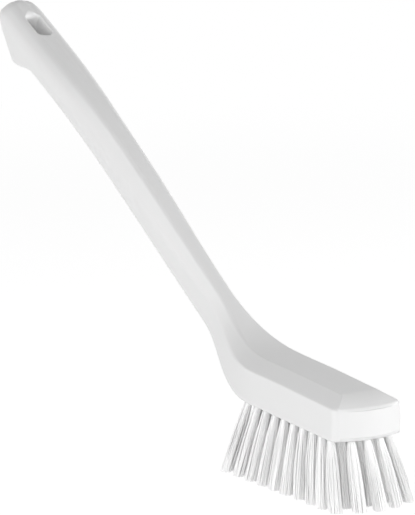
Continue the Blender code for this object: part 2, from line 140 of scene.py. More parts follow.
def scattered(draw: random.Random, scatter: float) -> Vector:
    """Draw a level step of a random length, first along the brush and then across it."""
    return Vector((draw.gauss(0.0, scatter), draw.gauss(0.0, scatter), 0.0))


class NodeTree:
    """A node tree, with short calls to add and link its nodes."""

    def __init__(self, tree: bpy.types.NodeTree) -> None:
        """Take up a tree."""
        self.tree = tree

    def add(self, kind: str, **settings: object) -> bpy.types.Node:
        """Add a node and set its options.

        Args:
            kind: Blender's type name of the node.
            **settings: Options of the node by name.

        Returns:
            The new node.
        """
        node = self.tree.nodes.new(kind)
        for name, value in settings.items():
            setattr(node, name, value)
        return node

    def link(self, source: Socket, target: Socket) -> None:
        """Link one socket to another."""
        self.tree.links.new(source, target)

    def math(self, operation: str, *values: float | Socket) -> Socket:
        """Add a Math node.

        Args:
            operation: Blender's name of the operation.
            *values: Numbers or sockets for its inputs.

        Returns:
            The node's output.
        """
        node = self.add("ShaderNodeMath", operation=operation)
        for slot, value in zip(node.inputs, values):
            if isinstance(value, (int, float)):
                slot.default_value = value
            else:
                self.link(value, slot)
        return node.outputs[0]

    def map_range(self, value: Socket, source: tuple[float, float], target: tuple[float, float],
                  interpolation: str = "LINEAR") -> Socket:
        """Add a Map Range node.

        Args:
            value: Value to map.
            source: Lowest and highest value that come in.
            target: Values that they become.
            interpolation: Blender's name of the curve between them.

        Returns:
            The node's output.
        """
        node = self.add("ShaderNodeMapRange", interpolation_type=interpolation)
        self.link(value, node.inputs["Value"])
        names = ("From Min", "From Max", "To Min", "To Max")
        for name, bound in zip(names, source + target):
            node.inputs[name].default_value = bound
        return node.outputs["Result"]

    def mix_shaders(self, share: Socket, first: Socket, second: Socket) -> Socket:
        """Add a Mix Shader node.

        Args:
            share: Share of the second shader.
            first: Shader where the share is 0.
            second: Shader where the share is 1.

        Returns:
            The node's output.
        """
        node = self.add("ShaderNodeMixShader")
        for source, slot in zip((share, first, second), node.inputs):
            self.link(source, slot)
        return node.outputs["Shader"]


class NodeGroup(NodeTree):
    """A shader node group with named inputs and outputs, built once and shared by materials."""

    def __init__(self, name: str) -> None:
        """Start an empty group.

        Args:
            name: Name of the group, in words for what it does.
        """
        super().__init__(bpy.data.node_groups.new(name, "ShaderNodeTree"))
        self.inlet = self.add("NodeGroupInput")
        self.outlet = self.add("NodeGroupOutput")

    def take(self, name: str, kind: str, default: float | Colour) -> None:
        """Add a named input.

        Args:
            name: Name of the socket.
            kind: Socket type without its prefix, such as Float or Color.
            default: Value while nothing is linked.
        """
        socket = self.tree.interface.new_socket(
            name=name, in_out="INPUT", socket_type=f"NodeSocket{kind}"
        )
        socket.default_value = default

    def give(self, name: str, kind: str, source: Socket) -> None:
        """Add a named output and link it.

        Args:
            name: Name of the socket.
            kind: Socket type without its prefix.
            source: Output inside the group that feeds it.
        """
        self.tree.interface.new_socket(
            name=name, in_out="OUTPUT", socket_type=f"NodeSocket{kind}"
        )
        self.link(source, self.outlet.inputs[name])

    def noise(self, detail: float, stretch: Point = EVEN_STRETCH) -> Socket:
        """Add noise in object space whose scale comes from the group's Scale input.

        Args:
            detail: How many finer layers the noise has.
            stretch: How much finer the noise is along each axis.

        Returns:
            The noise, from 0 to 1.
        """
        place = self.add("ShaderNodeTexCoord")
        mapping = self.add("ShaderNodeMapping")
        mapping.inputs["Scale"].default_value = stretch
        texture = self.add("ShaderNodeTexNoise")
        texture.inputs["Detail"].default_value = detail
        self.link(place.outputs["Object"], mapping.inputs["Vector"])
        self.link(mapping.outputs["Vector"], texture.inputs["Vector"])
        self.link(self.inlet.outputs["Scale"], texture.inputs["Scale"])
        return texture.outputs["Fac"]


def shade_drift_group() -> bpy.types.NodeTree:
    """Build the group that lets a colour drift towards another in soft clouds.

    Returns:
        The group, with a Color output.
    """
    group = NodeGroup("shade_drift")
    group.take("Base", "Color", (0.8, 0.8, 0.8, 1.0))
    group.take("Drift", "Color", (0.7, 0.7, 0.7, 1.0))
    group.take("Amount", "Float", 0.5)
    group.take("Scale", "Float", 20.0)
    clouds = group.noise(detail=3.0)
    amount = group.math("MULTIPLY", clouds, group.inlet.outputs["Amount"])
    blend = group.add("ShaderNodeMix", data_type="RGBA")
    group.link(amount, blend.inputs["Factor"])
    group.link(group.inlet.outputs["Base"], blend.inputs["A"])
    group.link(group.inlet.outputs["Drift"], blend.inputs["B"])
    group.give("Color", "Color", blend.outputs["Result"])
    return group.tree


def gloss_drift_group() -> bpy.types.NodeTree:
    """Build the group that lets roughness rise and fall over handled and moulded areas.

    Returns:
        The group, with a Roughness output.
    """
    group = NodeGroup("gloss_drift")
    group.take("Roughness", "Float", 0.5)
    group.take("Spread", "Float", 0.1)
    group.take("Scale", "Float", 40.0)
    centred = group.math("SUBTRACT", group.noise(detail=4.0), 0.5)
    swing = group.math("MULTIPLY", centred, group.inlet.outputs["Spread"])
    level = group.math("ADD", group.inlet.outputs["Roughness"], swing)
    group.give("Roughness", "Float", level)
    return group.tree


def fine_grain_group() -> bpy.types.NodeTree:
    """Build the group for the fine pebbled grain that a mould or a drawing die leaves.

    Returns:
        The group, with a Height output.
    """
    group = NodeGroup("moulded_grain")
    group.take("Scale", "Float", 1500.0)
    group.take("Waves", "Float", 0.3)
    grain = group.noise(detail=2.0)
    swell = group.noise(detail=2.0, stretch=SLOW_STRETCH)
    slow = group.math("MULTIPLY", swell, group.inlet.outputs["Waves"])
    group.give("Height", "Float", group.math("ADD", grain, slow))
    return group.tree


@dataclass(frozen=True)
class SharedGroups:
    """The node groups that the finishes place in their materials."""

    shade_drift: bpy.types.NodeTree
    gloss_drift: bpy.types.NodeTree
    fine_grain: bpy.types.NodeTree

    @classmethod
    def build(cls) -> "SharedGroups":
        """Build every group once."""
        return cls(shade_drift_group(), gloss_drift_group(), fine_grain_group())


class MaterialNodes(NodeTree):
    """The nodes of a material around its Principled shader."""

    def __init__(self, name: str) -> None:
        """Start a material with only its Principled shader.

        Args:
            name: Name of the material.
        """
        self.material = bpy.data.materials.new(name)
        self.material.use_nodes = True
        super().__init__(self.material.node_tree)
        self.shader = self.tree.nodes["Principled BSDF"]

    def place(self, group: bpy.types.NodeTree, output: str, **values: float | Colour) -> Socket:
        """Place a shared group with its own values.

        Args:
            group: The group's node tree.
            output: Name of the output to use.
            **values: Values of its inputs by name.

        Returns:
            That output.
        """
        node = self.add("ShaderNodeGroup", node_tree=group)
        for name, value in values.items():
            node.inputs[name].default_value = value
        return node.outputs[output]

    def raise_grain(self, height: Socket, distance: float, strength: float) -> None:
        """Feed a height through a Bump node to the shader.

        Args:
            height: Height of the surface.
            distance: Height of the bumps in metres.
            strength: Share of that height that shows.
        """
        bump = self.add("ShaderNodeBump")
        bump.inputs["Distance"].default_value = distance
        bump.inputs["Strength"].default_value = strength
        self.link(height, bump.inputs["Height"])
        self.link(bump.outputs["Normal"], self.shader.inputs["Normal"])


@dataclass(frozen=True)
class Finish:
    """What every finish has: a colour that drifts, a gloss that varies and a fine grain."""

    name: str
    colour: Colour
    drift_colour: Colour
    drift_amount: float
    drift_scale: float
    roughness: float
    roughness_spread: float
    roughness_scale: float
    grain_scale: float
    grain_waves: float
    grain_height: float
    grain_strength: float

    def base_colour(self, nodes: MaterialNodes, groups: SharedGroups) -> Socket:
        """Place the nodes that colour the surface.

        Args:
            nodes: The material's nodes.
            groups: The shared node groups.

        Returns:
            Socket with the colour.
        """
        return nodes.place(
            groups.shade_drift, "Color", Base=self.colour, Drift=self.drift_colour,
            Amount=self.drift_amount, Scale=self.drift_scale,
        )

    def constants(self) -> dict[str, float | Point]:
        """Values of the shader's own sockets that are the same all over the surface."""
        return {}

    def material(self, groups: SharedGroups) -> bpy.types.Material:
        """Make the material.

        Args:
            groups: The shared node groups.

        Returns:
            The finished material.
        """
        nodes = MaterialNodes(self.name)
        nodes.link(self.base_colour(nodes, groups), nodes.shader.inputs["Base Color"])
        gloss = nodes.place(
            groups.gloss_drift, "Roughness", Roughness=self.roughness,
            Spread=self.roughness_spread, Scale=self.roughness_scale,
        )
        nodes.link(gloss, nodes.shader.inputs["Roughness"])
        grain = nodes.place(
            groups.fine_grain, "Height", Scale=self.grain_scale, Waves=self.grain_waves
        )
        nodes.raise_grain(grain, self.grain_height, self.grain_strength)
        for name, value in self.constants().items():
            nodes.shader.inputs[name].default_value = value
        return nodes.material


@dataclass(frozen=True)
class MouldedPlastic(Finish):
    """White injection-moulded polypropylene with a satin face."""

    name: str = "white_polypropylene"
    colour: Colour = (0.79, 0.79, 0.79, 1.0)
    drift_colour: Colour = (0.75, 0.75, 0.75, 1.0)
    drift_amount: float = 0.35
    drift_scale: float = 18.0
    roughness: float = 0.32
    roughness_spread: float = 0.08
    roughness_scale: float = 55.0
    grain_scale: float = 1400.0
    grain_waves: float = 0.6
    grain_height: float = 0.00003
    grain_strength: float = 0.35
    subsurface: float = 0.12
    subsurface_reach: float = 0.0018
    specular: float = 0.45

    def constants(self) -> dict[str, float | Point]:
        """Values for light that scatters just under the face, and for a satin highlight."""
        return {
            "Subsurface Weight": self.subsurface,
            "Subsurface Scale": self.subsurface_reach,
            "Subsurface Radius": EVEN_SCATTER,
            "Specular IOR Level": self.specular,
        }


@dataclass(frozen=True)
class PolyesterFilament(Finish):
    """White drawn polyester filament, each strand with its own tone."""

    name: str = "white_polyester"
    colour: Colour = (0.99, 0.99, 0.99, 1.0)
    drift_colour: Colour = (0.965, 0.965, 0.965, 1.0)
    drift_amount: float = 0.30
    drift_scale: float = 90.0
    roughness: float = 0.38
    roughness_spread: float = 0.16
    roughness_scale: float = 300.0
    grain_scale: float = 2600.0
    grain_waves: float = 0.2
    grain_height: float = 0.00001
    grain_strength: float = 0.30

    def base_colour(self, nodes: MaterialNodes, groups: SharedGroups) -> Socket:
        """Place the nodes that colour the strands, each by its own tone.

        Args:
            nodes: The material's nodes.
            groups: The shared node groups.

        Returns:
            Socket with the colour.
        """
        tone = nodes.add("ShaderNodeAttribute", attribute_name=STRAND_TONE)
        toned = nodes.add("ShaderNodeMix", data_type="RGBA", blend_type="MULTIPLY")
        toned.inputs["Factor"].default_value = 1.0
        nodes.link(super().base_colour(nodes, groups), toned.inputs["A"])
        nodes.link(tone.outputs["Color"], toned.inputs["B"])
        return toned.outputs["Result"]


@dataclass(frozen=True)
class RolledWire(Finish):
    """Stainless wire rolled flat, with faint rolling marks."""

    name: str = "rolled_stainless_wire"
    colour: Colour = (0.62, 0.61, 0.60, 1.0)
    drift_colour: Colour = (0.50, 0.495, 0.49, 1.0)
    drift_amount: float = 0.5
    drift_scale: float = 400.0
    roughness: float = 0.30
    roughness_spread: float = 0.20
    roughness_scale: float = 900.0
    grain_scale: float = 5000.0
    grain_waves: float = 0.2
    grain_height: float = 0.00001
    grain_strength: float = 0.4

    def constants(self) -> dict[str, float | Point]:
        """Value that makes the wire bare metal."""
        return {"Metallic": 1.0}


@dataclass(frozen=True)
class Spine:
    """Line along the middle of the brush at the height of the side crease, from the nose back."""

    height: float = 0.0176
    length: float = 0.4027
    bend_start: float = 0.082
    bend_length: float = 0.062
    droop_start: float = 0.290
    droop_length: float = 0.080
    rise: float = math.radians(28.4)
    droop: float = math.radians(5.8)
    step: float = 0.002

    def heading(self, place: float) -> float:
        """Slope at a place: level in the block, up along the handle, easing off at its end."""
        rise = self.rise * ease((place - self.bend_start) / self.bend_length)
        return rise - self.droop * ease((place - self.droop_start) / self.droop_length)

    def point(self, place: float) -> tuple[float, float]:
        """Walk along the spine to a place.

        Args:
            place: Distance from the nose along the spine.

        Returns:
            X and Z of the point.
        """
        steps = max(1, math.ceil(place / self.step))
        step = place / steps
        x, z = 0.0, self.height
        for index in range(steps):
            slope = self.heading((index + 0.5) * step)
            x -= step * math.cos(slope)
            z += step * math.sin(slope)
        return x, z


@dataclass(frozen=True)
class Section:
    """Sizes of one cross-section of the moulding.

    The first three are full widths at the side crease, the base and the flat top. The rise is the
    bevel's, the radius rounds the base edges, the softness is the radius of the creases, and the
    crown is the arch of the top.
    """

    crease: float
    base: float
    flat: float
    rise: float
    radius: float
    softness: float
    crown: float = 0.0

    def towards(self, other: "Section", share: float) -> "Section":
        """Section part of the way from this one to another."""
        pairs = zip(astuple(self), astuple(other))
        return Section(*(mix(first, second, share) for first, second in pairs))


BLOCK_SECTION = Section(
    crease=0.0390, base=0.0402, flat=0.0212, rise=0.0052, radius=0.0012, softness=0.0012
)
NECK_SECTION = Section(
    crease=0.0156, base=0.0128, flat=0.0076, rise=0.0060, radius=0.0030, softness=0.0060
)
SHAFT_SECTION = Section(
    crease=0.0236, base=0.0184, flat=0.0092, rise=0.0084, radius=0.0030, softness=0.0090
)
GRIP_SECTION = Section(
    crease=0.0260, base=0.0212, flat=0.0130, rise=0.0058, radius=0.0030, softness=0.0090,
    crown=0.0008,
)


def join_loops(bm: bmesh.types.BMesh, loops: list[list[bmesh.types.BMVert]]) -> None:
    """Join each loop of vertices to the next with a band of faces.

    Args:
        bm: Working mesh.
        loops: Loops with the same number of vertices.
    """
    for low, high in zip(loops, loops[1:]):
        for index in range(len(low)):
            after = (index + 1) % len(low)
            bm.faces.new((low[index], low[after], high[after], high[index]))


def close_form(bm: bmesh.types.BMesh, loops: list[list[bmesh.types.BMVert]]) -> None:
    """Make a closed form of loops of vertices, with a flat face at each end.

    Args:
        bm: Working mesh.
        loops: Loops from the bottom up.
    """
    join_loops(bm, loops)
    bm.faces.new(loops[0][::-1])
    bm.faces.new(loops[-1])


def mesh_from(bm: bmesh.types.BMesh, name: str) -> bpy.types.Mesh:
    """Turn a working mesh into mesh data.

    Args:
        bm: Working mesh, which is freed.
        name: Name of the mesh.

    Returns:
        The mesh data.
    """
    mesh = bpy.data.meshes.new(name)
    bmesh.ops.recalc_face_normals(bm, faces=bm.faces)
    bm.to_mesh(mesh)
    bm.free()
    return mesh


def add_object(name: str, data: bpy.types.ID) -> bpy.types.Object:
    """Add an object to the scene.

    Args:
        name: Name of the object.
        data: Its mesh, lamp or camera data.

    Returns:
        The object.
    """
    obj = bpy.data.objects.new(name, data)
    bpy.context.scene.collection.objects.link(obj)
    return obj


def cut_away(target: bpy.types.Object, forms: Iterable[tuple[bpy.types.Mesh, Matrix]]) -> None:
    """Cut closed forms out of an object, and remove the cutters.

    Args:
        target: Object to cut.
        forms: Mesh and place of each cutter.
    """
    cutters = []
    for mesh, place in forms:
        cutter = add_object(f"cutter_{mesh.name}", mesh)
        cutter.matrix_world = place
        modifier = target.modifiers.new(mesh.name, "BOOLEAN")
        modifier.operation = "DIFFERENCE"
        modifier.solver = "EXACT"
        modifier.object = cutter
        cutters.append(cutter)
    evaluated = target.evaluated_get(bpy.context.evaluated_depsgraph_get())
    plain = target.data
    target.data = bpy.data.meshes.new_from_object(evaluated)
    target.data.name = plain.name
    target.modifiers.clear()
    bpy.data.meshes.remove(plain)
    for cutter in cutters:
        mesh = cutter.data
        bpy.data.objects.remove(cutter)
        bpy.data.meshes.remove(mesh)


@dataclass(frozen=True)
class HangHole:
    """Stadium hole through the hooked end, with a rounded upper lip and a sloped tail end."""

    place: float = 0.3768
    length: float = 0.0212
    width: float = 0.0080
    lip_width: float = 0.0015
    lip_depth: float = 0.0036
    tail_slope: float = 0.0024
    top: float = 0.0066
    bottom: float = -0.0193
    overrun: float = 0.0010
    sides: int = 72
    lip_steps: int = 10

    def profile(self) -> list[tuple[float, float]]:
        """Work out the rings of the cutting form.

        Returns:
            Radius and height of each ring, from the bottom up.
        """
        radius = self.width / 2.0
        rings = [(radius, self.bottom), (radius, self.top - self.lip_depth)]
        for index in range(1, self.lip_steps + 1):
            turn = QUARTER_TURN * index / self.lip_steps
            rings.append((
                radius + self.lip_width * (1.0 - math.cos(turn)),
                self.top - self.lip_depth * (1.0 - math.sin(turn)),
            ))
        rings.append((radius + self.lip_width, self.top + self.overrun))
        return rings

    def mesh(self) -> bpy.types.Mesh:
        """Build the cutting form, upright at the origin.

        Returns:
            Mesh of the closed stadium form.
        """
        stretch = (self.length - self.width) / 2.0
        bm = bmesh.new()
        loops = []
        for radius, height in self.profile():
            # The wall below the lip leans in at the tail end, and the lip itself doesn't.
            inward = self.tail_slope * (1.0 - (radius - self.width / 2.0) / self.lip_width)
            loop = []
            for index in range(self.sides):
                turn = math.tau * (index + 0.5) / self.sides
                x = radius * math.cos(turn)
                x += math.copysign(stretch, x) + inward * max(0.0, -math.cos(turn))
                loop.append(bm.verts.new((x, radius * math.sin(turn), height)))
            loops.append(loop)
        close_form(bm, loops)
        return mesh_from(bm, "hang_hole")


@dataclass
class Moulding:
    """Brush block and handle in one piece, lofted along the spine."""

    spine: Spine = field(default_factory=Spine)
    hang_hole: HangHole = field(default_factory=HangHole)
    finish: MouldedPlastic = field(default_factory=MouldedPlastic)

    block_length: float = 0.088
    block_fall: float = 0.0010
    block_fall_length: float = 0.056
    neck_place: float = 0.157
    shaft_place: float = 0.268
    grip_place: float = 0.357
    hook_place: float = 0.378

    heel_place: float = 0.108
    heel_depth: float = 0.0182
    neck_depth: float = 0.0160
    shaft_depth: float = 0.0110
    grip_depth: float = 0.0116
    hook_depth: float = 0.0183

    nose_radius: float = 0.038
    nose_corner_radius: float = 0.0050
    nose_edge_radius: float = 0.0012
    nose_base_radius: float = 0.0026
    nose_bevel_length: float = 0.0135
    nose_lip_rise: float = 0.0003
    nose_lip_inset: float = 0.0014
    nose_flare: float = 0.0010
    nose_bow_length: float = 0.030
    nose_edge_start: float = 0.5

    tail_length: float = 0.0110
    tail_squareness: float = 2.7
    tail_climb: float = 0.78
    tail_top_power: float = 4.0
    tail_end: float = 0.97

    rounding_limit: float = 0.45
    flat_steps: int = 10
    round_steps: int = 6
    corner_rings: int = 14
    tail_rings: int = 16
    block_step: float = 0.0040
    bend_step: float = 0.0020
    handle_step: float = 0.0030
    hook_step: float = 0.0015
    sharp_angle: float = math.radians(32.0)
    shading_weight: int = 60

    def section_at(self, place: float) -> Section:
        """Ease between the sections of the block, neck, shaft and grip.

        Args:
            place: Distance from the nose along the spine.

        Returns:
            Section at that place.
        """
        stations = (
            (0.0, BLOCK_SECTION),
            (self.block_length, BLOCK_SECTION),
            (self.neck_place, NECK_SECTION),
            (self.shaft_place, SHAFT_SECTION),
            (self.grip_place, GRIP_SECTION),
        )
        first, second, share = around(stations, place)
        return first.towards(second, share)

    def depth_at(self, place: float) -> float:
        """Depth of the underside below the spine.

        Args:
            place: Distance from the nose along the spine.

        Returns:
            Depth square to the spine, level under the block and hooked at the handle's end.
        """
        stations = (
            (self.heel_place, self.heel_depth),
            (self.neck_place, self.neck_depth),
            (self.shaft_place, self.shaft_depth),
            (self.grip_place, self.grip_depth),
            (self.hook_place, self.hook_depth),
        )
        depth = mix(*around(stations, place))
        if place > self.hook_place:
            share = (place - self.hook_place) / (self.spine.length - self.hook_place)
            depth = self.hook_depth * (1.0 - share) ** self.tail_climb
        # Under the block and heel the underside can't go below the level of the block's base.
        level = self.spine.point(place)[1] / math.cos(self.spine.heading(place))
        return min(depth, level)

    def round_corner(
        self, before: Vector, corner: Vector, after: Vector, radius: float
    ) -> list[Vector]:
        """Round one corner of an outline.

        Args:
            before: Point before the corner.
            corner: The corner.
            after: Point after the corner.
            radius: Radius, which the two edges may limit.

        Returns:
            Points of the rounding.
        """
        back, ahead = before - corner, after - corner
        half_angle = back.angle(ahead) / 2.0
        longest = self.rounding_limit * min(back.length, ahead.length)
        reach = min(radius / math.tan(half_angle), longest)
        fitted = reach * math.tan(half_angle)
        middle = (back.normalized() + ahead.normalized()).normalized()
        centre = corner + middle * (fitted / math.sin(half_angle))
        start = back.normalized() * reach + corner - centre
        end = ahead.normalized() * reach + corner - centre
        turn = start.angle_signed(end)
        return [
            centre + Matrix.Rotation(-turn * index / self.round_steps, 2) @ start
            for index in range(self.round_steps + 1)
        ]

    def half_outline(
        self, halves: tuple[float, float, float], section: Section, depth: float
    ) -> list[Vector]:
        """Draw the right half of a cross-section.

        Args:
            halves: Half widths at the crease, base and flat top.
            section: Section that gives the rise, radii and crown.
            depth: Depth of the underside.

        Returns:
            Points from the middle of the underside to the middle of the top.
        """
        half_crease, half_base, half_flat = halves
        base = Vector((half_base, -depth))
        crease = Vector((half_crease, 0.0))
        shoulder = Vector((half_flat, section.rise))
        under = Vector((0.0, -depth))
        top = Vector((0.0, section.rise))
        base_round = self.round_corner(under, base, crease, section.radius)
        crease_round = self.round_corner(base, crease, shoulder, section.softness)
        shoulder_round = self.round_corner(crease, shoulder, top, section.softness)
        steps = self.flat_steps
        points = [under.lerp(base_round[0], index / steps) for index in range(steps)]
        points += base_round + crease_round + shoulder_round
        edge = shoulder_round[-1]
        for index in range(steps - 1, -1, -1):
            share = index / steps
            crown = section.crown * (1.0 - share * share)
            points.append(Vector((edge.x * share, edge.y + crown)))
        return points

    def nose_arc(self, y: float) -> float:
        """Forward reach of the nose's front at a distance from the middle line."""
        return math.sqrt(self.nose_radius ** 2 - y ** 2) - self.nose_radius

    def ring(
        self, outline: list[Vector], place: float, bow: float = 0.0, edge_turn: float = 0.0
    ) -> list[Vector]:
        """Place one outline in space.

        Args:
            outline: Right half of the cross-section.
            place: Distance from the nose along the spine.
            bow: Share of the nose's arc that the ring follows.
            edge_turn: How far round the nose's front edges the ring stands.

        Returns:
            Points of the whole ring.
        """
        x, z = self.spine.point(place)
        slope = self.spine.heading(place)
        wall = self.spine.height
        half_crease = max(point.x for point in outline)
        placed = []
        for index, point in enumerate(outline):
            before = outline[max(index - 1, 0)]
            after = outline[min(index + 1, len(outline) - 1)]
            level = abs((after - before).normalized().x)
            # The front follows the nose's arc, leans out to its base and rounds back at its edges.
            forward = bow * (self.nose_arc(point.x) - self.nose_arc(half_crease))
            forward += bow * self.nose_flare * max(-point.y, 0.0) / wall
            upper = point.y > -wall / 2.0
            side = 1.0 if upper else -1.0
            radius = self.nose_edge_radius if upper else self.nose_base_radius
            forward -= radius * (1.0 - math.sin(edge_turn)) * level * min(bow, 1.0)
            height = point.y - side * radius * (1.0 - math.cos(edge_turn)) * level
            placed.append(Vector((
                x + forward + height * math.sin(slope),
                point.x,
                z + height * math.cos(slope),
            )))
        return placed + [Vector((at.x, -at.y, at.z)) for at in placed[-2:0:-1]]

    def nose_rings(self) -> list[tuple[float, float, float]]:
        """Work out the rings round the nose's corners.

        Returns:
            Place, inset and edge turn of each ring, from the front back.
        """
        corner = self.nose_corner_radius
        centre_y = BLOCK_SECTION.crease / 2.0 - corner
        reach = self.nose_radius - corner
        centre_reach = math.sqrt(reach ** 2 - centre_y ** 2) - self.nose_radius
        last_turn = QUARTER_TURN - math.asin(centre_y / reach)
        rings = []
        for index in range(self.corner_rings, -1, -1):
            share = index / self.corner_rings
            turn = last_turn * share
            place = -(centre_reach + corner * math.sin(turn))
            inset = corner * (1.0 - math.cos(turn))
            edge_share = (share - self.nose_edge_start) / (1.0 - self.nose_edge_start)
            rings.append((place, inset, QUARTER_TURN * max(0.0, edge_share)))
        return rings

    def block_outline(self, place: float, inset: float) -> list[Vector]:
        """Outline in the block, where the nose's bevel lowers and widens the flat top.

        Args:
            place: Distance from the nose along the spine.
            inset: How far the corner's rounding draws each side in.

        Returns:
            Right half of the cross-section.
        """
        section = self.section_at(place)
        bevel = self.nose_bevel_length
        share = max(0.0, (bevel - place) / (bevel - self.nose_rings()[0][0]))
        drop = self.block_fall * max(0.0, 1.0 - place / self.block_fall_length)
        half_crease = section.crease / 2.0 - inset
        half_base = section.base / 2.0 - inset
        bevelled = mix(section.flat / 2.0, section.crease / 2.0 - self.nose_lip_inset, share)
        half_flat = min(bevelled, half_crease - self.nose_lip_inset)
        rise = mix(section.rise, self.nose_lip_rise, share)
        halves = (half_crease, half_base, half_flat)
        outline = self.half_outline(halves, replace(section, rise=rise), self.depth_at(place))
        wall = self.spine.height
        # The top falls a little to the nose, and the underside stays level.
        for point in outline:
            point.y -= drop * min(1.0, (point.y + wall) / wall)
        return outline

    def handle_outline(self, place: float) -> list[Vector]:
        """Outline in the handle, drawn in to a rounded tail at its end.

        Args:
            place: Distance from the nose along the spine.

        Returns:
            Right half of the cross-section.
        """
        section = self.section_at(place)
        share = max(0.0, (place - (self.spine.length - self.tail_length)) / self.tail_length)
        draw = (1.0 - share ** self.tail_squareness) ** (1.0 / self.tail_squareness)
        top = math.sqrt(1.0 - share ** self.tail_top_power)
        half = draw / 2.0
        halves = (section.crease * half, section.base * half, section.flat * half)
        drawn = replace(section, rise=section.rise * top, crown=section.crown * draw)
        return self.half_outline(halves, drawn, self.depth_at(place))

    def rings(self) -> list[list[Vector]]:
        """Work out every ring of the moulding.

        Returns:
            Points of each ring, from the nose to the tail.
        """
        rings = []
        corner_rings = self.nose_rings()
        for index, (place, inset, edge_turn) in enumerate(corner_rings):
            bow = 1.0 - place / self.nose_bow_length if index else 1.0
            rings.append(self.ring(self.block_outline(place, inset), place, bow, edge_turn))
        places = even_places(corner_rings[-1][0], self.nose_bevel_length, self.block_step)[1:]
        places += even_places(self.nose_bevel_length, self.nose_bow_length, self.block_step)
        places += even_places(self.nose_bow_length, self.spine.bend_start, self.block_step)
        for place in places:
            bow = max(0.0, 1.0 - place / self.nose_bow_length)
            rings.append(self.ring(self.block_outline(place, 0.0), place, bow))
        tail_start = self.spine.length - self.tail_length
        places = even_places(self.spine.bend_start, self.neck_place, self.bend_step)
        places += even_places(self.neck_place, self.grip_place, self.handle_step)
        places += even_places(self.grip_place, tail_start, self.hook_step)
        for index in range(self.tail_rings + 1):
            turn = QUARTER_TURN * self.tail_end * index / self.tail_rings
            places.append(tail_start + self.tail_length * math.sin(turn))
        rings += [self.ring(self.handle_outline(place), place) for place in places]
        return rings

    def cap(self, bm: bmesh.types.BMesh, ring: list[bmesh.types.BMVert], end: End) -> None:
        """Close one end with strips from the underside's points up to the top's points.

        Args:
            bm: Working mesh.
            ring: Last ring of vertices at that end.
            end: Which end it is, which sets the faces' direction.
        """
        count = len(ring)
        half = count // 2
        steps = self.flat_steps
        loops = []
        for index in range(steps - 1):
            strips = (
                (index, index + 1, half - index - 1, half - index),
                (-index, half + index, half + index + 1, -index - 1),
            )
            loops += [[ring[corner] for corner in strip] for strip in strips]
        loops.append(ring[steps - 1:half - steps + 2])
        loops.append(ring[half + steps - 1:count - steps + 2])
        for loop in loops:
            bm.faces.new(loop[::-1] if end is End.NOSE else loop)

    def loft(self) -> bpy.types.Mesh:
        """Join the rings into one closed mesh.

        Returns:
            Mesh of the moulding before its holes are cut.
        """
        bm = bmesh.new()
        rings = [[bm.verts.new(point) for point in ring] for ring in self.rings()]
        join_loops(bm, rings)
        self.cap(bm, rings[0], End.NOSE)
        self.cap(bm, rings[-1], End.TAIL)
        return mesh_from(bm, "moulding")

    def build(self, field_: "BristleField", groups: SharedGroups) -> bpy.types.Object:
        """Build and dress the moulding, in the brush's own axes.

        Args:
            field_: Bristle field whose blind holes it carries.
            groups: The shared node groups.

        Returns:
            The moulding's object.
        """
        body = add_object("moulding", self.loft())
        x, z = self.spine.point(self.hang_hole.place)
        turned = Matrix.Rotation(self.spine.heading(self.hang_hole.place), 4, "Y")
        hole_place = Matrix.Translation((x, 0.0, z)) @ turned
        cut_away(body, (
            (field_.holes_mesh(), Matrix.Identity(4)),
            (self.hang_hole.mesh(), hole_place),
        ))
        body.data.materials.append(self.finish.material(groups))
        body.data.shade_smooth()
        body.data.set_sharp_from_angle(angle=self.sharp_angle)
        weighted = body.modifiers.new("even_shading", "WEIGHTED_NORMAL")
        weighted.keep_sharp = True
        weighted.weight = self.shading_weight
        return body


@dataclass(frozen=True)
class Stance:
    """How the brush stands: tilted onto the trimmed plane of its bristle tips."""

    tilt: float = math.radians(2.4)
    trim_height: float = 0.0352

    def trim_at(self, x: float) -> float:
        """Height of the trimmed plane at a distance ahead of the nose."""
        return x * math.tan(self.tilt) - self.trim_height

    def matrix(self, body: bpy.types.Object) -> Matrix:
        """Work out the matrix that stands the brush where the CAD model is.

        Args:
            body: The moulding, in the brush's own axes.

        Returns:
            Matrix from the brush's own axes to the row frame.
        """
        turned = Matrix.Rotation(self.tilt, 4, "Y")
        reach = max((turned @ vert.co).x for vert in body.data.vertices)
        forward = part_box(BODY_NODE)[1].x - reach
        return Matrix.Translation((forward, 0.0, self.trim_height * math.cos(self.tilt))) @ turned


